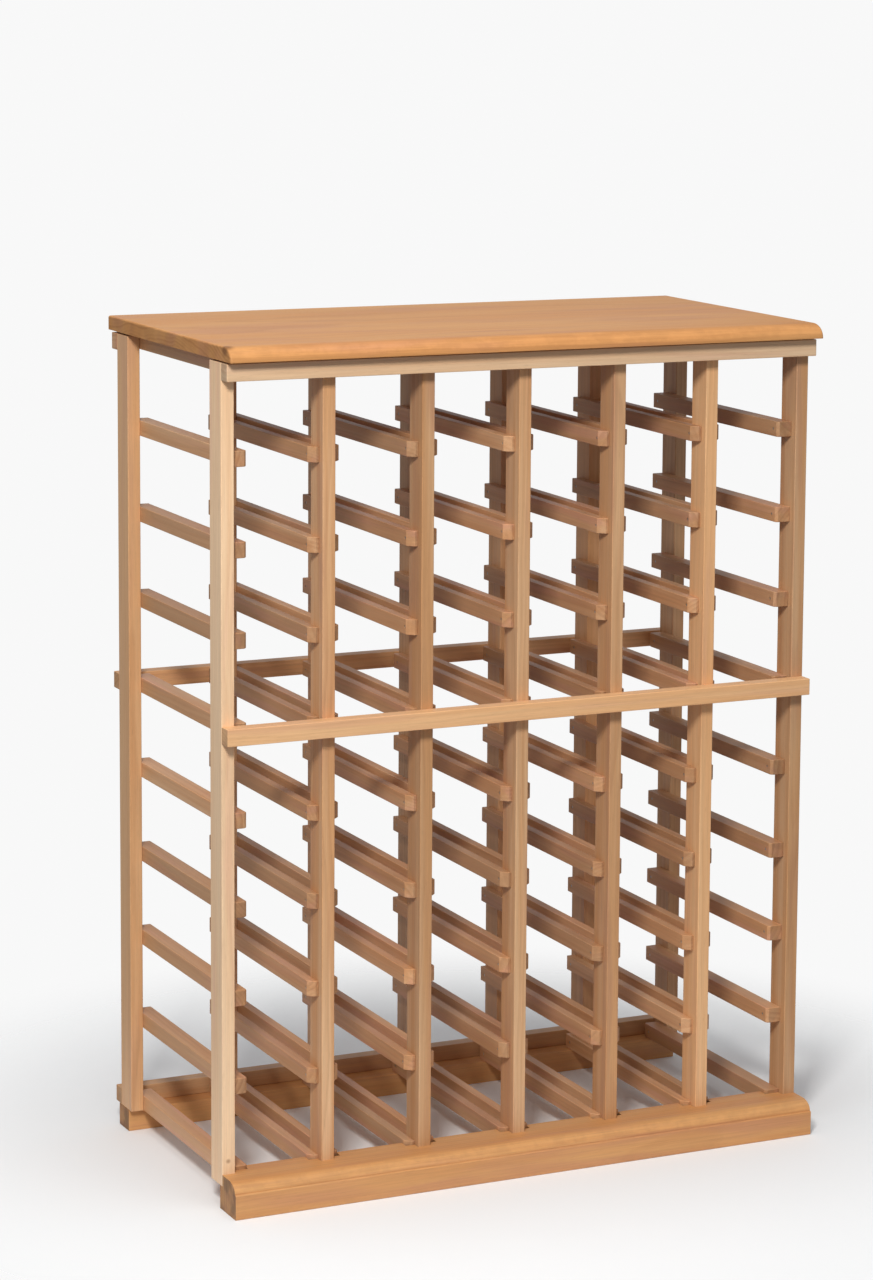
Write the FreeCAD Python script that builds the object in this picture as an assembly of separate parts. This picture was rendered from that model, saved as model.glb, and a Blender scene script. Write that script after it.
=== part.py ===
"""Free-standing wooden wine rack: six columns of nine cradles under a solid tabletop.

Seven ladders stand side by side. Each ladder is a front post and a back post joined by side rails,
which run front to back and carry the bottles. Cross rails tie the ladders together at the front and
the back. A moulded base board carries the front posts, with spacer blocks between them, and a foot
strip carries the back posts.
Millimetres, +Z up, front towards -Y, origin at the centre of the footprint on the floor.
"""
import FreeCAD, Part
import math
import os

# ---- driving dimensions ----
columns = 6
rows = 9
middle_row = 5
column_pitch = 102.0
row_pitch = 86.0

post_width = 13.0
post_depth = 29.5
ladder_depth = 282.0
foot_height = 22.5
post_top_gap = 2.0

rail_height = 15.3
inner_rail_thickness = 9.5
end_rail_thickness = 16.0
rail_setback = 8.5
inner_rail_bevel = 6.5
end_rail_bevel = 2.5

cross_rail_height = 16.5
cross_rail_thickness = 15.5

tabletop_thickness = 14.0
tabletop_front_overhang = 27.5
tabletop_back_overhang = 22.0
tabletop_end_overhang = 1.0
nose_run = 18.0
nose_drop = 13.0

base_projection = 34.5
base_top = 34.2
base_tongue = 6.0
base_top_flat = 17.5
base_step_height = 24.5
base_step_width = 2.0
base_step_rise = 0.4
base_chamfer = 1.0
spacer_depth = 18.6
spacer_gap = 0.2
spacer_round = 0.5
foot_strip_depth = 27.5
foot_strip_behind = 6.3

edge_round = 0.8
arris_round = 2.0
tolerance = 1e-6

# ---- fasteners ----
fit_gap = 0.05
brad_radius = 0.8
brad_head_radius = 1.4
brad_head_height = 0.8
brad_sink = 0.3
brad_bite = 9.0
brad_point = 1.4
brad_tip_radius = 0.1
brad_setbacks = {"left": 17.5, "right": 24.0}

dowel_radius = 3.0
dowel_length = 22.0
dowel_in_rail = 10.5
dowel_chamfer = 0.8

screw_radius = 1.75
screw_head_radius = 3.4
screw_head_height = 2.2
screw_tip = 4.0
screw_tip_radius = 0.2
screw_slot_width = 1.0
screw_slot_length = 3.6
screw_slot_depth = 1.1
tabletop_screw_length = 24.0
back_screw_length = 29.0
foot_screw_length = 27.5
foot_screw_recess = 3.0
foot_screw_setback = 8.0
tabletop_screw_setback = 70.5
bottom_back_screw_rise = 12.0

# ---- derived places ----
ladders = columns + 1
all_ladders = range(1, ladders + 1)
frame_width = columns * column_pitch + post_width
depth = base_projection + ladder_depth + tabletop_back_overhang
front_y = -depth / 2 + base_projection
back_y = front_y + ladder_depth
lowest_rail_top = foot_height + rail_height
tabletop_bottom = lowest_rail_top + rows * row_pitch
post_top = tabletop_bottom - post_top_gap
rail_front_y = front_y + rail_setback
rail_length = ladder_depth - 2 * rail_setback
middle_rail_top = lowest_rail_top + middle_row * row_pitch

X = FreeCAD.Vector(1, 0, 0)
Y = FreeCAD.Vector(0, 1, 0)
Z = FreeCAD.Vector(0, 0, 1)


def post_x(ladder):
    """Left face of a ladder's posts; ladders count from 1 at the left."""
    return -frame_width / 2 + (ladder - 1) * column_pitch


def rail_top(row):
    """Top of the side rails of a row; row 0 is the lowest and the row above the last is the bearers."""
    return lowest_rail_top + row * row_pitch


def block(x0, y0, z0, x1, y1, z1, radius=edge_round):
    """A planed stick between two corners, with every edge eased."""
    box = Part.makeBox(x1 - x0, y1 - y0, z1 - z0, FreeCAD.Vector(x0, y0, z0))
    return box.makeFillet(radius, box.Edges)


def bored(shape, bores):
    """The shape with its fastener holes."""
    return shape.cut(Part.makeCompound(bores)) if bores else shape


# ---- fasteners and their bores ----
def bore(start, axis, radius, length):
    """A round hole with running room, from a point along an axis."""
    return Part.makeCylinder(radius + fit_gap, length + fit_gap, start, axis)


def brad(start, axis, length):
    """A brad driven along an axis, its small head just under the surface at the start point."""
    head_start = start + axis * brad_sink
    head = Part.makeCylinder(brad_head_radius, brad_head_height, head_start, axis)
    shank_length = length - brad_point
    shank = Part.makeCylinder(brad_radius, shank_length, head_start, axis)
    point = Part.makeCone(brad_radius, brad_tip_radius, brad_point, head_start + axis * shank_length, axis)
    return head.fuse([shank, point]).removeSplitter()


def brad_bores(start, axis, length):
    """The hole of a brad: a shallow seat for the head and a narrow hole for the shank."""
    seat = bore(start, axis, brad_head_radius, brad_sink + brad_head_height)
    shank = bore(start, axis, brad_radius, brad_sink + length)
    return [seat, shank]


def screw(start, axis, across, length):
    """A countersunk wood screw: flat head at the start point, cross slot, shank and point."""
    head = Part.makeCone(screw_head_radius, screw_radius, screw_head_height, start, axis)
    shank = Part.makeCylinder(screw_radius, length - screw_tip, start, axis)
    tip_start = start + axis * (length - screw_tip)
    tip = Part.makeCone(screw_radius, screw_tip_radius, screw_tip, tip_start, axis)
    body = head.fuse([shank, tip]).removeSplitter()
    other = axis.cross(across)
    for along, aside in ((across, other), (other, across)):
        corner = start - along * (screw_slot_length / 2) - aside * (screw_slot_width / 2)
        slot = Part.Face(Part.makePolygon([
            corner,
            corner + along * screw_slot_length,
            corner + along * screw_slot_length + aside * screw_slot_width,
            corner + aside * screw_slot_width,
            corner,
        ])).extrude(axis * screw_slot_depth)
        body = body.cut(slot)
    return body


def screw_bores(start, axis, length):
    """The countersink and hole of a screw."""
    sink = Part.makeCone(screw_head_radius + fit_gap, screw_radius + fit_gap, screw_head_height, start, axis)
    return [sink, bore(start, axis, screw_radius, length)]


def dowel(start, axis):
    """A birch dowel with chamfered ends."""
    pin = Part.makeCylinder(dowel_radius, dowel_length, start, axis)
    rims = [edge for edge in pin.Edges if isinstance(edge.Curve, Part.Circle)]
    return pin.makeChamfer(dowel_chamfer, rims)


# ---- where the fasteners go ----
def rail_sides(ladder):
    """The sides of a ladder that carry rails: an end ladder has them on its inner side only."""
    sides = []
    if ladder > 1:
        sides.append("left")
    if ladder < ladders:
        sides.append("right")
    return sides


def rail_thickness(ladder):
    """End ladders have thicker rails, because each stands alone between a bottle and the outside."""
    return end_rail_thickness if ladder in (1, ladders) else inner_rail_thickness


def brad_lines(ladder, side, row):
    """Start point, direction and length of the two brads of one rail, at its front and back post."""
    thickness = rail_thickness(ladder)
    height = rail_top(row) - rail_height / 2
    setback = brad_setbacks[side]
    length = thickness + brad_bite - brad_sink
    if side == "left":
        x, axis = post_x(ladder) - thickness, X
    else:
        x, axis = post_x(ladder) + post_width + thickness, -X
    places = (front_y + setback, back_y - setback)
    return [(FreeCAD.Vector(x, y, height), axis, length) for y in places]


def ladder_brad_lines(ladder):
    """All brads of a ladder, with the ones of its bearers."""
    lines = []
    for side in rail_sides(ladder):
        for row in range(rows + 1):
            lines += brad_lines(ladder, side, row)
    return lines


def post_centre_x(ladder):
    return post_x(ladder) + post_width / 2


top_dowel_z = post_top - cross_rail_height / 2
middle_dowel_z = middle_rail_top - cross_rail_height / 2
base_dowel_z = (foot_height + base_top) / 2


def dowel_start(ladder, height):
    """The buried end of a dowel in the front rail or the base board; it points back into the post."""
    return FreeCAD.Vector(post_centre_x(ladder), front_y - dowel_in_rail, height)


def back_screw_start(ladder, height):
    """Head of a screw on the back face of a back cross rail; it points forward into the post."""
    return FreeCAD.Vector(post_centre_x(ladder), back_y + cross_rail_thickness, height)


back_screw_heights = {
    "top_back_rail": top_dowel_z,
    "middle_back_rail": middle_dowel_z,
    "bottom_back_rail": foot_height + bottom_back_screw_rise,
}


def foot_screw_start(ladder):
    """Head of a screw in the underside of the back foot strip; it points up into the post."""
    return FreeCAD.Vector(post_centre_x(ladder), back_y - foot_screw_setback, foot_screw_recess)


def tabletop_screw_starts(ladder, side):
    """Heads of the two screws in the underside of a bearer, which point up into the tabletop."""
    half = rail_thickness(ladder) / 2
    x = post_x(ladder) - half if side == "left" else post_x(ladder) + post_width + half
    z = tabletop_bottom - rail_height
    places = (front_y + tabletop_screw_setback, back_y - tabletop_screw_setback)
    return [FreeCAD.Vector(x, y, z) for y in places]


# ---- wooden pieces ----
def front_post(ladder):
    x = post_x(ladder)
    stick = block(x, front_y, foot_height, x + post_width, front_y + post_depth, post_top)
    bores = []
    for start, axis, length in ladder_brad_lines(ladder):
        if start.y < 0:
            bores += brad_bores(start, axis, length)
    for height in (top_dowel_z, middle_dowel_z, base_dowel_z):
        bores.append(bore(dowel_start(ladder, height), Y, dowel_radius, dowel_length))
    return bored(stick, bores)


def back_post(ladder):
    x = post_x(ladder)
    stick = block(x, back_y - post_depth, foot_height, x + post_width, back_y, post_top)
    bores = screw_bores(foot_screw_start(ladder), Z, foot_screw_length)
    for start, axis, length in ladder_brad_lines(ladder):
        if start.y > 0:
            bores += brad_bores(start, axis, length)
    for height in back_screw_heights.values():
        bores += screw_bores(back_screw_start(ladder, height), -Y, back_screw_length)
    return bored(stick, bores)


def side_rail(ladder, side, row):
    """One side rail; the front corner that faces the bottle is bevelled so that labels don't catch."""
    thickness = rail_thickness(ladder)
    bevel = end_rail_bevel if ladder in (1, ladders) else inner_rail_bevel
    if side == "left":
        inner_x, outward = post_x(ladder), -1
    else:
        inner_x, outward = post_x(ladder) + post_width, 1
    bottom = rail_top(row) - rail_height
    outline = [
        (0, 0),
        (thickness - bevel, 0),
        (thickness, bevel),
        (thickness, rail_length),
        (0, rail_length),
        (0, 0),
    ]
    points = []
    for across, along in outline:
        points.append(FreeCAD.Vector(inner_x + outward * across, rail_front_y + along, bottom))
    stick = Part.Face(Part.makePolygon(points)).extrude(Z * rail_height)
    stick = stick.makeFillet(edge_round, stick.Edges)
    bores = []
    for start, axis, length in brad_lines(ladder, side, row):
        bores += brad_bores(start, axis, length)
    return bored(stick, bores)


def bearer(ladder, side):
    """The topmost rail of a ladder side: it carries the tabletop and is screwed to it."""
    bores = []
    for start in tabletop_screw_starts(ladder, side):
        bores += screw_bores(start, Z, tabletop_screw_length)
    return bored(side_rail(ladder, side, rows), bores)


def front_cross_rail(top, dowel_z):
    stick = block(-frame_width / 2, front_y - cross_rail_thickness, top - cross_rail_height,
                  frame_width / 2, front_y, top)
    return bored(stick, [bore(dowel_start(n, dowel_z), Y, dowel_radius, dowel_length) for n in all_ladders])


def back_cross_rail(bottom, screw_z):
    stick = block(-frame_width / 2, back_y, bottom,
                  frame_width / 2, back_y + cross_rail_thickness, bottom + cross_rail_height)
    bores = []
    for ladder in all_ladders:
        bores += screw_bores(back_screw_start(ladder, screw_z), -Y, back_screw_length)
    return bored(stick, bores)


def rolled_nose(centre_y, centre_z, run, rise):
    """Quarter ellipse from the top of a rolled edge forward and down to its front; the run is the longer."""
    ellipse = Part.Ellipse(FreeCAD.Vector(0, centre_y - run, centre_z),
                           FreeCAD.Vector(0, centre_y, centre_z + rise),
                           FreeCAD.Vector(0, centre_y, centre_z))
    return ellipse.toShape(0, math.pi / 2)


def moulding(edges, length):
    """A board of the given end outline, centred on x = 0."""
    wire = Part.Wire(Part.__sortEdges__(edges))
    board = Part.Face(wire).extrude(X * length)
    board.translate(FreeCAD.Vector(-length / 2, 0, 0))
    return board


def outline_edges(points):
    """Straight edges through (y, z) points of an end outline."""
    places = [FreeCAD.Vector(0, y, z) for y, z in points]
    return [Part.makeLine(a, b) for a, b in zip(places, places[1:])]


def tabletop():
    """Solid board whose front edge is rolled over from the top face to the underside."""
    length = frame_width + 2 * tabletop_end_overhang
    front = front_y - tabletop_front_overhang
    back = back_y + tabletop_back_overhang
    top = tabletop_bottom + tabletop_thickness
    nose_z = top - nose_drop
    nose = rolled_nose(front + nose_run, nose_z, nose_run, nose_drop)
    flats = outline_edges([
        (front, nose_z),
        (front, tabletop_bottom),
        (back, tabletop_bottom),
        (back, top),
        (front + nose_run, top),
    ])
    board = moulding([nose] + flats, length)
    arrises = [edge for edge in board.Edges if is_top_arris(edge, top, length, back)]
    board = board.makeFillet(arris_round, arrises)
    bores = []
    for ladder in all_ladders:
        for side in rail_sides(ladder):
            for start in tabletop_screw_starts(ladder, side):
                bores.append(bore(start, Z, screw_radius, tabletop_screw_length))
    return bored(board, bores)


def is_top_arris(edge, top, length, back):
    """True for the two end edges and the back edge of the tabletop's upper face and rolled nose."""
    box = edge.BoundBox
    at_end = box.XLength < tolerance and abs(abs(box.XMin) - length / 2) < tolerance
    on_top = box.ZMax > top - tolerance and box.YLength > tolerance
    at_back = box.YLength < tolerance and abs(box.YMin - back) < tolerance and box.ZMin > top - tolerance
    return (at_end and on_top) or at_back


def front_base_board():
    """Moulded board: round top front edge, small step, flat face to the floor, rebate for the posts."""
    front = front_y - base_projection
    step_y = front + base_step_width
    run = front_y - base_top_flat - step_y
    rise = base_top - base_step_height - base_step_rise
    round_z = base_top - rise
    nose = rolled_nose(front_y - base_top_flat, round_z, run, rise)
    flats = outline_edges([
        (step_y, round_z),
        (step_y, base_step_height),
        (front + base_chamfer, base_step_height),
        (front, base_step_height - base_chamfer),
        (front, base_chamfer),
        (front + base_chamfer, 0),
        (front_y + base_tongue, 0),
        (front_y + base_tongue, foot_height),
        (front_y, foot_height),
        (front_y, base_top),
        (front_y - base_top_flat, base_top),
    ])
    board = moulding([nose] + flats, frame_width)
    bores = [bore(dowel_start(n, base_dowel_z), Y, dowel_radius, dowel_length) for n in all_ladders]
    return bored(board, bores)


def base_spacer(column):
    """Block between two front posts, behind the base board; its rear part sits between the lowest rails."""
    x0 = post_x(column) + post_width + spacer_gap
    x1 = post_x(column + 1) - spacer_gap
    inner_x0 = x0 + rail_thickness(column)
    inner_x1 = x1 - rail_thickness(column + 1)
    shoulder_y = rail_front_y - spacer_gap
    rear_y = front_y + spacer_depth
    outline = [
        (x0, front_y),
        (x1, front_y),
        (x1, shoulder_y),
        (inner_x1, shoulder_y),
        (inner_x1, rear_y),
        (inner_x0, rear_y),
        (inner_x0, shoulder_y),
        (x0, shoulder_y),
        (x0, front_y),
    ]
    points = [FreeCAD.Vector(x, y, foot_height) for x, y in outline]
    blank = Part.Face(Part.makePolygon(points)).extrude(Z * (base_top - foot_height))
    upper = [edge for edge in blank.Edges if edge.BoundBox.ZMin > base_top - tolerance]
    return blank.makeFillet(spacer_round, upper)


def back_foot_strip():
    rear = back_y + foot_strip_behind
    stick = block(-frame_width / 2, rear - foot_strip_depth, 0, frame_width / 2, rear, foot_height)
    bores = []
    for ladder in all_ladders:
        start = foot_screw_start(ladder)
        mouth = FreeCAD.Vector(start.x, start.y, 0)
        bores += screw_bores(start, Z, foot_screw_length)
        bores.append(bore(mouth, Z, screw_head_radius, foot_screw_recess))
    return bored(stick, bores)


# ---- assembly ----
def save(name, solids):
    shape = solids[0] if len(solids) == 1 else Part.makeCompound(solids)
    shape.exportStep(os.path.join("parts", name + ".step"))


def build():
    os.makedirs("parts", exist_ok=True)
    for ladder in all_ladders:
        save(f"front_post_{ladder}", [front_post(ladder)])
        save(f"back_post_{ladder}", [back_post(ladder)])
        save(f"ladder_{ladder}_brads", [brad(*line) for line in ladder_brad_lines(ladder)])
        for side in rail_sides(ladder):
            save(f"ladder_{ladder}_{side}_rails", [side_rail(ladder, side, row) for row in range(rows)])
            save(f"ladder_{ladder}_{side}_bearer", [bearer(ladder, side)])

    save("top_front_rail", [front_cross_rail(post_top, top_dowel_z)])
    save("middle_front_rail", [front_cross_rail(middle_rail_top, middle_dowel_z)])
    save("front_base_board", [front_base_board()])
    bottoms = {
        "top_back_rail": post_top - cross_rail_height,
        "middle_back_rail": middle_rail_top - cross_rail_height,
        "bottom_back_rail": foot_height,
    }
    for name, bottom in bottoms.items():
        save(name, [back_cross_rail(bottom, back_screw_heights[name])])
    save("base_spacer_blocks", [base_spacer(column) for column in range(1, ladders)])
    save("back_foot_strip", [back_foot_strip()])
    save("tabletop", [tabletop()])

    rail_dowels = [dowel(dowel_start(n, z), Y) for z in (top_dowel_z, middle_dowel_z) for n in all_ladders]
    save("front_rail_dowels", rail_dowels)
    save("base_board_dowels", [dowel(dowel_start(n, base_dowel_z), Y) for n in all_ladders])
    back_screws = []
    for height in back_screw_heights.values():
        back_screws += [screw(back_screw_start(n, height), -Y, X, back_screw_length) for n in all_ladders]
    save("back_rail_screws", back_screws)
    save("foot_screws", [screw(foot_screw_start(n), Z, X, foot_screw_length) for n in all_ladders])
    top_screws = []
    for ladder in all_ladders:
        for side in rail_sides(ladder):
            starts = tabletop_screw_starts(ladder, side)
            top_screws += [screw(start, Z, X, tabletop_screw_length) for start in starts]
    save("tabletop_screws", top_screws)


build()
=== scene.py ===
"""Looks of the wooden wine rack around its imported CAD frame: materials, floor, light and camera.

All wood is one solid pattern: growth rings round a pith line off the middle of its cell of space, so that the
grain on the faces and the rings on the ends belong together. Posts and side rails each lie in a cell of their
own, which gives them their own pith, ring width and tone. Metres, +Z up, front towards -Y.
"""
import math
from types import SimpleNamespace

import bpy
from mathutils import Matrix, Vector

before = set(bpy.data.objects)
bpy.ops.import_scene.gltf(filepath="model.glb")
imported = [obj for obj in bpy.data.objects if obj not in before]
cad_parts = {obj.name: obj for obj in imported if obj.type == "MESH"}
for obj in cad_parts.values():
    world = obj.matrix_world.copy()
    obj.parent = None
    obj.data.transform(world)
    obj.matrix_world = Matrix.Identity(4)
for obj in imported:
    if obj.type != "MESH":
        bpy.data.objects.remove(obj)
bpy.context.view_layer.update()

# ---- the rack's grid, for cells that hold one stick each ----
COLUMN_PITCH = 0.102
ROW_PITCH = 0.086
FIRST_POST_X = -0.306
FRONT_POST_Y = -0.120
POST_SPREAD_Y = 0.2525
LOWEST_RAIL_Z = 0.03015
# Side of a cell that reaches past the whole rack
WHOLE = 10.0

# ---- wood: axes along, across and up the grain, and what keeps one stick's pattern apart from the next ----
AXES = {"X": (0, 1, 2), "Y": (1, 2, 0), "Z": (2, 0, 1)}
CELL_MIDDLE = (0.5, 0.5, 0.5)
SEED_SKEW = 0.37
GROWTH_DRAW, RING_DRAW, TONE_DRAW = 0.0, 3.0, 7.0
PATTERN_SHIFT = 40.0

# ---- wood: growth rings, as lengths in metres, where in a ring latewood rises and falls, and strengths ----
PITH_NEAREST, PITH_SPREAD = 0.020, 0.085
RING_THINNEST, RING_SPREAD = 0.0030, 0.0035
WANDER = 0.030
LATEWOOD_RISE = (0.10, 0.84)
LATEWOOD_FALL = (0.86, 1.0, 1.0, 0.0)
FAINTEST_RING, RING_VARIETY = 0.15, 0.85

# ---- wood: noises, as features per metre along and across the grain, detail and roughness ----
RING_WANDER = (2.2, 11.0, 2.5, 0.5)
FIBRES = (16.0, 800.0, 3.0, 0.6)
PORES = (90.0, 2400.0, 1.0, 0.5)
STREAKS_ALONG, STREAK_NOISE = 2.0, (3.0, 0.55)
# The bloom's count across the grain is a share of the streaks' count, times a scale for both directions
BLOOM_ALONG, BLOOM_FIGURE, BLOOM_NOISE = 3.1, 0.62, (2.0, 0.5)
BLOOM_SCALE = 1.7
# The same in all directions: features per metre, detail and roughness
RUB_NOISE = (60.0, 3.0, 0.6)
BLOTCH_NOISE = (55.0, 2.0, 0.5)

# ---- wood: smooth steps, as where each starts and ends, and what it gives there when not 0 and 1 ----
PORE_STEP = (0.62, 0.76)
STREAK_STEP = (0.34, 0.66)
BLOOM_STEP = (0.48, 0.72, 0.0, 0.65)
RUB_STEP = (0.38, 0.62)
BLOTCH_STEP = (0.38, 0.60)
END_GRAIN_STEP = (0.55, 0.92)
EASED_EDGE_STEP = (0.995, 0.93)
FIBRE_SHADE_STEP = (0.25, 0.75, 0.93, 1.05)
# A knot's full darkness begins at this share of its radius
KNOT_CORE = 0.25

# ---- wood: strengths of the marks in the colour, the roughness and the relief ----
BLUSH_STRENGTH = 0.60
RING_STRENGTH, RING_STRENGTH_ON_ENDS = 0.24, 0.26
KNOT_STRENGTH = 0.80
DARKEST_TONE, TONE_SPREAD = 0.83, 0.28
PORE_DARKENING = 0.13
WORN_LIGHTENING = 0.10
LEAST_ROUGHNESS = 0.36
FIBRE_ROUGHNESS, END_ROUGHNESS, WORN_POLISH = 0.14, 0.16, 0.07
FIBRE_HEIGHT, RING_HEIGHT, PORE_DEPTH = 0.55, 0.35, 0.60
WOOD_BUMP = (0.40, 0.0002)

# ---- steel: noises as detail and roughness, smooth steps, and relief ----
CLOUD_NOISE, CLOUD_STEP = (3.0, 0.55), (0.35, 0.65)
TINT_FINENESS, TINT_NOISE, TINT_STEP = 2.7, (2.0, 0.5), (0.50, 0.72, 0.0, 0.6)
SCRATCHES_PER_METRE, SCRATCH_NOISE = (9000.0, 1500.0, 1500.0), (2.0, 0.6)
STEEL_ROUGHNESS, SCRATCH_ROUGHNESS = 0.26, 0.25
STEEL_BUMP = (0.25, 0.00003)


class Nodes:
    """Short calls for building a node tree."""

    def __init__(self, tree):
        self.tree = tree

    def add(self, kind, **settings):
        node = self.tree.nodes.new("ShaderNode" + kind)
        for name, value in settings.items():
            setattr(node, name, value)
        return node

    def feed(self, socket, value):
        if isinstance(value, bpy.types.NodeSocket):
            self.tree.links.new(value, socket)
        elif value is not None:
            socket.default_value = value

    def math(self, operation, a, b=None, c=None):
        node = self.add("Math", operation=operation)
        for socket, value in zip(node.inputs, (a, b, c)):
            self.feed(socket, value)
        return node.outputs[0]

    def vector(self, operation, a, b=None):
        node = self.add("VectorMath", operation=operation)
        self.feed(node.inputs[0], a)
        self.feed(node.inputs[1], b)
        return node.outputs["Value" if operation == "LENGTH" else "Vector"]

    def split(self, vector):
        node = self.add("SeparateXYZ")
        self.feed(node.inputs[0], vector)
        return list(node.outputs)

    def join(self, x, y, z):
        node = self.add("CombineXYZ")
        for socket, value in zip(node.inputs, (x, y, z)):
            self.feed(socket, value)
        return node.outputs[0]

    def noise(self, vector, scale, detail, roughness):
        node = self.add("TexNoise")
        self.feed(node.inputs["Vector"], vector)
        self.feed(node.inputs["Scale"], scale)
        self.feed(node.inputs["Detail"], detail)
        self.feed(node.inputs["Roughness"], roughness)
        return node.outputs["Fac"]

    def random(self, vector, w):
        """Three numbers from 0 to 1 that the vector and w pick."""
        node = self.add("TexWhiteNoise", noise_dimensions="4D")
        self.feed(node.inputs["Vector"], vector)
        self.feed(node.inputs["W"], w)
        return self.split(node.outputs["Color"])

    def ramp(self, value, low, high, start=0.0, end=1.0):
        """Smooth step of value from start at low to end at high."""
        node = self.add("MapRange", interpolation_type="SMOOTHSTEP")
        for socket, number in zip(node.inputs, (value, low, high, start, end)):
            self.feed(socket, number)
        return node.outputs[0]

    def mix(self, factor, a, b, blend="MIX"):
        node = self.add("Mix", data_type="RGBA", blend_type=blend)
        self.feed(node.inputs[0], factor)
        self.feed(node.inputs[6], a)
        self.feed(node.inputs[7], b)
        return node.outputs[2]

    def bump(self, shader, height, strength, distance):
        """Relief on a shader; distance is its depth in metres."""
        node = self.add("Bump")
        node.inputs["Strength"].default_value = strength
        node.inputs["Distance"].default_value = distance
        self.feed(node.inputs["Height"], height)
        self.feed(shader.inputs["Normal"], node.outputs[0])


def colour(r, g, b):
    return (r, g, b, 1.0)


def new_material(name):
    material = bpy.data.materials.new(name)
    material.use_nodes = True
    material.node_tree.nodes.clear()
    n = Nodes(material.node_tree)
    output = n.add("OutputMaterial")
    shader = n.add("BsdfPrincipled")
    material.node_tree.links.new(shader.outputs[0], output.inputs["Surface"])
    return material, n, shader


DARK_KNOT = colour(0.08, 0.05, 0.03)


class Stick:
    """The stick that a point lies in: its random numbers, and the point along, across and up its grain."""

    def __init__(self, n, grain, origin, cell, seed):
        self.nodes = n
        self.seed = seed
        self.place = n.add("TexCoord").outputs["Object"]
        cells = n.vector("DIVIDE", n.vector("SUBTRACT", self.place, origin), cell)
        index = n.vector("ADD", n.vector("FLOOR", cells), (seed, seed * SEED_SKEW, -seed))
        from_middle = n.vector("SUBTRACT", n.vector("FRACTION", cells), CELL_MIDDLE)
        local = n.split(n.vector("MULTIPLY", from_middle, cell))
        self.turn, self.distance, self.spacing = n.random(index, GROWTH_DRAW)
        self.tone, self.blush, shift = n.random(index, TONE_DRAW)
        along, self.across, self.up = (local[axis] for axis in AXES[grain])
        self.along = n.math("MULTIPLY_ADD", shift, PATTERN_SHIFT, along)

    def noise(self, per_metre_along, per_metre_across, detail, roughness, scale=1.0):
        """Noise stretched along the grain."""
        n = self.nodes
        stretched = n.join(
            n.math("MULTIPLY", self.along, per_metre_along),
            n.math("MULTIPLY", self.across, per_metre_across),
            n.math("MULTIPLY", self.up, per_metre_across),
        )
        return n.noise(stretched, scale, detail, roughness)


def growth_rings(stick):
    """Latewood, which darkens over most of each ring's width and ends sharply."""
    n = stick.nodes
    angle = n.math("MULTIPLY", stick.turn, 2 * math.pi)
    reach = n.math("MULTIPLY_ADD", stick.distance, PITH_SPREAD, PITH_NEAREST)
    across_from_pith = n.math("MULTIPLY_ADD", n.math("COSINE", angle), reach, stick.across)
    up_from_pith = n.math("MULTIPLY_ADD", n.math("SINE", angle), reach, stick.up)
    wander = n.math("MULTIPLY", n.math("SUBTRACT", stick.noise(*RING_WANDER), 0.5), WANDER)
    radius = n.math("ADD", n.vector("LENGTH", n.join(across_from_pith, up_from_pith, 0.0)), wander)
    width = n.math("MULTIPLY_ADD", stick.spacing, RING_SPREAD, RING_THINNEST)
    rings = n.math("DIVIDE", radius, width)
    phase = n.math("FRACT", rings)
    drawn = n.random(n.join(n.math("FLOOR", rings), stick.seed, stick.turn), RING_DRAW)[0]
    strength = n.math("MULTIPLY_ADD", drawn, RING_VARIETY, FAINTEST_RING)
    rise = n.ramp(phase, *LATEWOOD_RISE)
    fall = n.ramp(phase, *LATEWOOD_FALL)
    return n.math("MULTIPLY", n.math("MULTIPLY", rise, fall), strength)


def knot_nearness(stick, knots):
    """Rises from 0 at a knot's rim to 1 at its core."""
    n = stick.nodes
    nearness = 0.0
    for centre, radius in knots:
        away = n.vector("LENGTH", n.vector("SUBTRACT", stick.place, centre))
        nearness = n.math("MAXIMUM", nearness, n.ramp(away, radius, radius * KNOT_CORE))
    return nearness


def surface_marks(stick, grain, figure, knots):
    """The marks that colour and relief are made of."""
    n = stick.nodes
    normal = n.add("NewGeometry").outputs["True Normal"]
    facing = [n.math("ABSOLUTE", part) for part in n.split(normal)]
    widest = n.math("MAXIMUM", n.math("MAXIMUM", facing[0], facing[1]), facing[2])
    eased_edge = n.ramp(widest, *EASED_EDGE_STEP)
    rubbed = n.ramp(n.noise(stick.place, *RUB_NOISE), *RUB_STEP)
    return SimpleNamespace(
        ring=growth_rings(stick),
        knot=knot_nearness(stick, knots),
        fibre=stick.noise(*FIBRES),
        pores=n.ramp(stick.noise(*PORES), *PORE_STEP),
        streak=stick.noise(STREAKS_ALONG, figure, *STREAK_NOISE),
        bloom=stick.noise(BLOOM_ALONG, figure * BLOOM_FIGURE, *BLOOM_NOISE, scale=BLOOM_SCALE),
        end=n.ramp(facing[AXES[grain][0]], *END_GRAIN_STEP),
        worn=n.math("MULTIPLY", eased_edge, rubbed),
        blotch=n.ramp(n.noise(stick.place, *BLOTCH_NOISE), *BLOTCH_STEP),
    )


def unshaded_colour(stick, marks, tones):
    """Streaks, blush and bloom, with the rings and knots over them."""
    n = stick.nodes
    pale, warm, rosy, late = tones
    ground = n.mix(n.ramp(marks.streak, *STREAK_STEP), pale, warm)
    ground = n.mix(n.math("MULTIPLY", stick.blush, BLUSH_STRENGTH), ground, warm)
    ground = n.mix(n.ramp(marks.bloom, *BLOOM_STEP), ground, rosy)
    ring_strength = n.math("MULTIPLY_ADD", marks.end, RING_STRENGTH_ON_ENDS, RING_STRENGTH)
    ground = n.mix(n.math("MULTIPLY", marks.ring, ring_strength), ground, late)
    knot_colour = n.mix(0.5, late, DARK_KNOT)
    return n.mix(n.math("MULTIPLY", marks.knot, KNOT_STRENGTH), ground, knot_colour)


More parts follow.
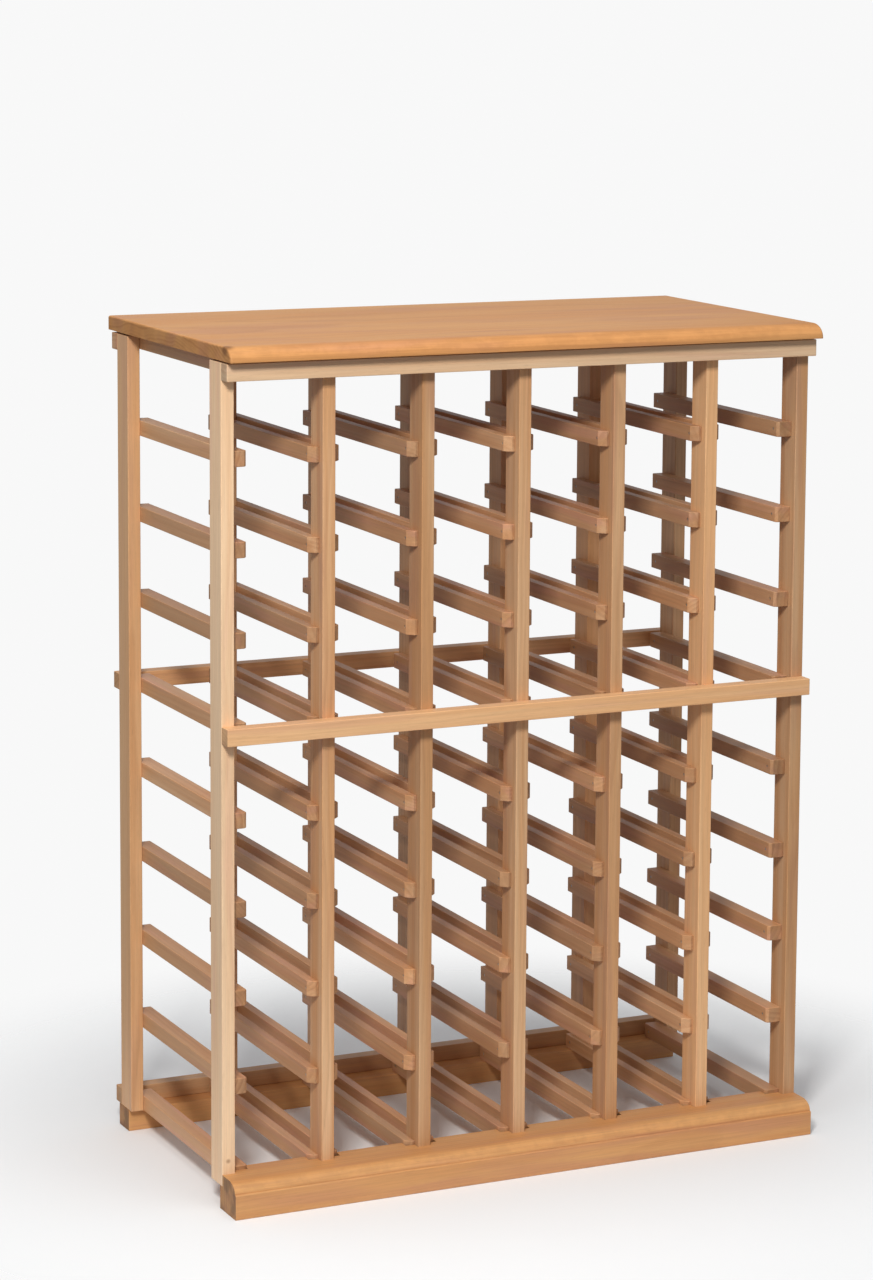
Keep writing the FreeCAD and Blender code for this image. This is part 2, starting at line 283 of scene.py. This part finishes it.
def shade(stick, marks, ends):
    """What the colour is multiplied by, for fibres, the stick's own tone, end grain, pores and worn edges."""
    n = stick.nodes
    fibre_shade = n.ramp(marks.fibre, *FIBRE_SHADE_STEP)
    tone_shade = n.math("MULTIPLY_ADD", stick.tone, TONE_SPREAD, DARKEST_TONE)
    end_darkening = n.math("MULTIPLY", marks.end, n.math("MULTIPLY_ADD", marks.blotch, ends, ends))
    end_shade = n.math("SUBTRACT", 1.0, end_darkening)
    pore_shade = n.math("MULTIPLY_ADD", marks.pores, -PORE_DARKENING, 1.0)
    worn_shade = n.math("MULTIPLY_ADD", marks.worn, WORN_LIGHTENING, 1.0)
    face_shade = n.math("MULTIPLY", fibre_shade, tone_shade)
    hollow_shade = n.math("MULTIPLY", end_shade, pore_shade)
    return n.math("MULTIPLY", n.math("MULTIPLY", face_shade, hollow_shade), worn_shade)


def sheen_and_relief(stick, marks, shader, gloss):
    n = stick.nodes
    rough = n.math("MULTIPLY_ADD", marks.fibre, FIBRE_ROUGHNESS, LEAST_ROUGHNESS)
    rough = n.math("ADD", rough, n.math("MULTIPLY", marks.end, END_ROUGHNESS))
    rough = n.math("SUBTRACT", rough, n.math("MULTIPLY", marks.worn, WORN_POLISH))
    n.feed(shader.inputs["Roughness"], rough)
    shader.inputs["Specular IOR Level"].default_value = gloss
    height = n.math("MULTIPLY", marks.fibre, FIBRE_HEIGHT)
    height = n.math("ADD", height, n.math("MULTIPLY", marks.ring, RING_HEIGHT))
    height = n.math("SUBTRACT", height, n.math("MULTIPLY", marks.pores, PORE_DEPTH))
    n.bump(shader, height, *WOOD_BUMP)


def wood(name, grain, origin, cell, tones, seed, figure=80.0, ends=0.14, gloss=0.40, knots=()):
    """Planed, lightly oiled wood. The fibres follow the axis grain; origin and cell set the cells of space.

    tones are the pale, warm, rosy and latewood colours. figure is about the count of broad streaks per
    metre across the grain, ends the darkening of end grain in blotches (on the base partly painted shade),
    gloss the specular level, and knots are (place, radius) pairs.
    """
    material, n, shader = new_material(name)
    stick = Stick(n, grain, origin, cell, seed)
    marks = surface_marks(stick, grain, figure, knots)
    dimmed = shade(stick, marks, ends)
    ground = unshaded_colour(stick, marks, tones)
    n.feed(shader.inputs["Base Color"], n.mix(1.0, ground, n.join(dimmed, dimmed, dimmed), "MULTIPLY"))
    sheen_and_relief(stick, marks, shader, gloss)
    return material


def plated_steel(name, bright, dull, tint, scale):
    """Plated or drawn steel with a broken tint and fine scratches; scale is about its clouds per metre."""
    material, n, shader = new_material(name)
    place = n.add("TexCoord").outputs["Object"]
    cloud = n.noise(place, scale, *CLOUD_NOISE)
    base = n.mix(n.ramp(cloud, *CLOUD_STEP), bright, dull)
    patches = n.noise(place, scale * TINT_FINENESS, *TINT_NOISE)
    base = n.mix(n.ramp(patches, *TINT_STEP), base, tint)
    n.feed(shader.inputs["Base Color"], base)
    shader.inputs["Metallic"].default_value = 1.0
    scratch = n.noise(n.vector("MULTIPLY", place, SCRATCHES_PER_METRE), 1.0, *SCRATCH_NOISE)
    n.feed(shader.inputs["Roughness"], n.math("MULTIPLY_ADD", scratch, SCRATCH_ROUGHNESS, STEEL_ROUGHNESS))
    n.bump(shader, scratch, *STEEL_BUMP)
    return material


def dress(material, names):
    """Gives CAD nodes a material, as the only slot that all their faces use."""
    for name in names:
        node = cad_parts[name]
        for face in node.data.polygons:
            face.material_index = 0
        node.data.materials.clear()
        node.data.materials.append(material)


# ---- wood of each kind of piece: pale, warm, rosy and latewood colours ----
STICK = (
    colour(0.720, 0.455, 0.255),
    colour(0.640, 0.340, 0.155),
    colour(0.560, 0.290, 0.165),
    colour(0.400, 0.175, 0.075),
)
# Lighter wood: on the left back post it is painted light for its front, which the key lamp lights more; on
# the sixth front post a lighter tone of its own
LIGHTER_STICK_WITH_PAINTED_LIGHT = (
    colour(0.820, 0.540, 0.300),
    colour(0.770, 0.430, 0.205),
    colour(0.700, 0.390, 0.220),
    colour(0.480, 0.225, 0.095),
)
# Palest wood: a paler tone of its own, made paler still as painted light for a brightly lit front
PALEST_STICK_WITH_PAINTED_LIGHT = (
    colour(0.860, 0.630, 0.410),
    colour(0.820, 0.540, 0.320),
    colour(0.800, 0.500, 0.340),
    colour(0.600, 0.330, 0.180),
)
# Rail wood, darker than the posts' wood: partly its own tone, partly painted shade for the shade on the
# rails' outer sides
DARKER_RAIL_WITH_PAINTED_SHADE = (
    colour(0.660, 0.395, 0.215),
    colour(0.580, 0.300, 0.140),
    colour(0.620, 0.310, 0.195),
    colour(0.380, 0.165, 0.075),
)
BOARD = (
    colour(0.650, 0.350, 0.140),
    colour(0.595, 0.280, 0.102),
    colour(0.530, 0.246, 0.125),
    colour(0.372, 0.153, 0.056),
)
BIRCH = (
    colour(0.780, 0.620, 0.420),
    colour(0.740, 0.560, 0.360),
    colour(0.720, 0.530, 0.350),
    colour(0.620, 0.440, 0.270),
)
YELLOW_ZINC = (colour(0.80, 0.66, 0.36), colour(0.62, 0.52, 0.30), colour(0.70, 0.50, 0.42))
DRAWN_STEEL = (colour(0.62, 0.62, 0.61), colour(0.42, 0.41, 0.40), colour(0.50, 0.42, 0.34))
ZINC_CLOUDS, STEEL_CLOUDS = 420.0, 600.0

# Knots: one low on the left front post, and one at the tabletop's front left corner
POST_KNOT = ((-0.3065, -0.1335, 0.0470), 0.0035)
TABLETOP_KNOT = ((-0.3125, -0.1475, 0.8235), 0.0100)

whole_origin = (-WHOLE / 2, -WHOLE / 2, -WHOLE / 2)
whole_cell = (WHOLE, WHOLE, WHOLE)
post_origin = (FIRST_POST_X - COLUMN_PITCH / 2, FRONT_POST_Y - POST_SPREAD_Y / 2, -WHOLE / 2)
post_cell = (COLUMN_PITCH, POST_SPREAD_Y, WHOLE)
post_wood = wood("post_wood", "Z", post_origin, post_cell, STICK, seed=3.0)
lighter_post_wood_with_painted_light = wood("lighter_post_wood_with_painted_light", "Z", post_origin, post_cell, LIGHTER_STICK_WITH_PAINTED_LIGHT, seed=3.0)
# The left front post's palest wood is partly its own paler tone and partly painted light on its brightly lit
# front
paler_post_wood_with_painted_light = wood(
    "paler_post_wood_with_painted_light", "Z", post_origin, post_cell, PALEST_STICK_WITH_PAINTED_LIGHT, seed=14.0, knots=[POST_KNOT])
# The side rails' darker wood carries painted shade on top of its own tone
rail_wood = wood(
    "rail_wood", "Y",
    (FIRST_POST_X, -WHOLE / 2, LOWEST_RAIL_Z - ROW_PITCH / 2),
    (COLUMN_PITCH / 2, WHOLE, ROW_PITCH),
    DARKER_RAIL_WITH_PAINTED_SHADE, seed=11.0,
)
tabletop_wood = wood(
    "tabletop_wood", "X", whole_origin, whole_cell, BOARD, seed=23.0,
    figure=26.0, ends=0.07, gloss=0.08, knots=[TABLETOP_KNOT],
)
# The base's end grain darkens more, in blotches: partly its own end-grain tone, partly painted shade on its
# ends
base_wood = wood("base_wood", "X", whole_origin, whole_cell, BOARD, seed=31.0, figure=60.0, ends=0.30)
cross_rails = {
    # The top front rail gets the palest wood, painted light included
    "top_front_rail": (PALEST_STICK_WITH_PAINTED_LIGHT, 41.0),
    "middle_front_rail": (LIGHTER_STICK_WITH_PAINTED_LIGHT, 43.0),
    "top_back_rail": (DARKER_RAIL_WITH_PAINTED_SHADE, 47.0),
    "middle_back_rail": (STICK, 53.0),
    "bottom_back_rail": (STICK, 59.0),
}
birch = wood("birch", "Y", whole_origin, whole_cell, BIRCH, seed=67.0)
zinc = plated_steel("yellow_zinc", *YELLOW_ZINC, scale=ZINC_CLOUDS)
steel = plated_steel("drawn_steel", *DRAWN_STEEL, scale=STEEL_CLOUDS)

names = sorted(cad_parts)
post_names = [name for name in names if "_post_" in name]
brad_names = [name for name in names if name.endswith("_brads")]
rail_names = [name for name in names if name.startswith("ladder_") and name not in brad_names]
# Posts with lighter wood: the sixth front post for its own lighter tone; the left front and left back posts
# partly as painted light on their lit fronts
posts_with_paler_wood_and_painted_light = {
    "front_post_1": paler_post_wood_with_painted_light,
    "front_post_6": lighter_post_wood_with_painted_light,
    "back_post_1": lighter_post_wood_with_painted_light,
}
for name, material in posts_with_paler_wood_and_painted_light.items():
    dress(material, [name])
dress(post_wood, [name for name in post_names if name not in posts_with_paler_wood_and_painted_light])
dress(rail_wood, rail_names)
for name, (tones, seed) in cross_rails.items():
    material = wood(name + "_wood", "X", whole_origin, whole_cell, tones, seed=seed)
    dress(material, [name])
dress(tabletop_wood, ["tabletop"])
dress(base_wood, ["front_base_board", "base_spacer_blocks", "back_foot_strip"])
dress(birch, ["front_rail_dowels", "base_board_dowels"])
dress(zinc, ["back_rail_screws", "foot_screws", "tabletop_screws"])
dress(steel, brad_names)

# ---- floor ----
FLOOR_SIZE = 14.0
FLOOR_COLOUR = colour(0.93, 0.955, 0.98)
FLOOR_ROUGHNESS = 0.75
FLOOR_GLOSS = 0.2
# Distances from the middle of the rack between which the floor fades out
FADE_START, FADE_END = 0.33, 0.72
floor_mesh = bpy.data.meshes.new("floor")
half = FLOOR_SIZE / 2
corners = [(-half, -half, 0), (half, -half, 0), (half, half, 0), (-half, half, 0)]
floor_mesh.from_pydata(corners, [], [(0, 1, 2, 3)])
floor = bpy.data.objects.new("floor", floor_mesh)
bpy.context.scene.collection.objects.link(floor)
floor_material, n, shader = new_material("floor")
shader.inputs["Base Color"].default_value = FLOOR_COLOUR
shader.inputs["Roughness"].default_value = FLOOR_ROUGHNESS
shader.inputs["Specular IOR Level"].default_value = FLOOR_GLOSS
# The floor fades out around the rack, so that it ends in no horizon
on_the_floor = n.vector("MULTIPLY", n.add("TexCoord").outputs["Object"], (1.0, 1.0, 0.0))
from_middle = n.vector("LENGTH", on_the_floor)
n.feed(shader.inputs["Alpha"], n.ramp(from_middle, FADE_START, FADE_END, 1.0, 0.0))
floor_mesh.materials.append(floor_material)

# ---- light: a bright plain backdrop that the camera sees, and a dimmer fill from all round ----
BACKDROP = colour(0.94, 0.94, 0.94)
FILL = colour(0.95, 0.97, 1.0)
FILL_STRENGTH = 0.30
world = bpy.data.worlds.new("studio")
bpy.context.scene.world = world
world.use_nodes = True
world.node_tree.nodes.clear()
n = Nodes(world.node_tree)
backdrop = n.add("Background")
backdrop.inputs["Color"].default_value = BACKDROP
fill = n.add("Background")
fill.inputs["Color"].default_value = FILL
fill.inputs["Strength"].default_value = FILL_STRENGTH
choice = n.add("MixShader")
n.feed(choice.inputs[0], n.add("LightPath").outputs["Is Camera Ray"])
n.feed(choice.inputs[1], fill.outputs[0])
n.feed(choice.inputs[2], backdrop.outputs[0])
n.feed(n.add("OutputWorld").inputs["Surface"], choice.outputs[0])


def softbox(name, place, aim, size, power, tint):
    """Rectangular area light that the camera doesn't see; size is its two sides, and power is in watts."""
    data = bpy.data.lights.new(name, "AREA")
    data.shape = "RECTANGLE"
    data.size, data.size_y = size
    data.energy = power
    data.color = tint
    lamp = bpy.data.objects.new(name, data)
    lamp.location = place
    lamp.rotation_mode = "QUATERNION"
    lamp.rotation_quaternion = (Vector(aim) - Vector(place)).to_track_quat("-Z", "Y")
    lamp.visible_camera = False
    bpy.context.scene.collection.objects.link(lamp)


softbox("key", (-1.25, -1.95, 2.05), (0.0, 0.0, 0.45), (0.45, 0.50), 54.0, (1.0, 0.97, 0.93))
softbox("overhead", (-0.1, -0.3, 2.6), (0.0, 0.0, 0.8), (1.4, 1.4), 21.0, (1.0, 0.99, 0.97))
softbox("left", (-2.6, -0.6, 1.4), (0.0, 0.0, 0.4), (1.4, 1.4), 4.5, (0.94, 0.97, 1.0))
softbox("back", (0.9, 2.9, 1.5), (0.0, 0.0, 0.5), (2.0, 1.2), 3.0, (1.0, 0.98, 0.96))

# ---- camera ----
CAMERA_PLACE = (-1.5479, -3.3187, 1.1877)
YAW, PITCH, ROLL = 26.24, 7.86, -0.57
# Millimetres
SENSOR_WIDTH = 36.0
LENS = 104.535
# Shares of the picture's longer side
SHIFT_X, SHIFT_Y = -0.0849, -0.1370
yaw, pitch, roll = (math.radians(angle) for angle in (YAW, PITCH, ROLL))
forward = Vector((math.sin(yaw) * math.cos(pitch), math.cos(yaw) * math.cos(pitch), -math.sin(pitch)))
level_right = Vector((math.cos(yaw), -math.sin(yaw), 0.0))
level_down = forward.cross(level_right)
right = math.cos(roll) * level_right + math.sin(roll) * level_down
down = -math.sin(roll) * level_right + math.cos(roll) * level_down
camera_data = bpy.data.cameras.new("camera")
camera_data.sensor_width = SENSOR_WIDTH
camera_data.lens = LENS
camera_data.shift_x = SHIFT_X
camera_data.shift_y = SHIFT_Y
camera = bpy.data.objects.new("camera", camera_data)
turn = Matrix((right, -down, -forward)).transposed().to_4x4()
camera.matrix_world = Matrix.Translation(CAMERA_PLACE) @ turn
bpy.context.scene.collection.objects.link(camera)
bpy.context.scene.camera = camera

scene = bpy.context.scene
scene.view_settings.view_transform = "Standard"
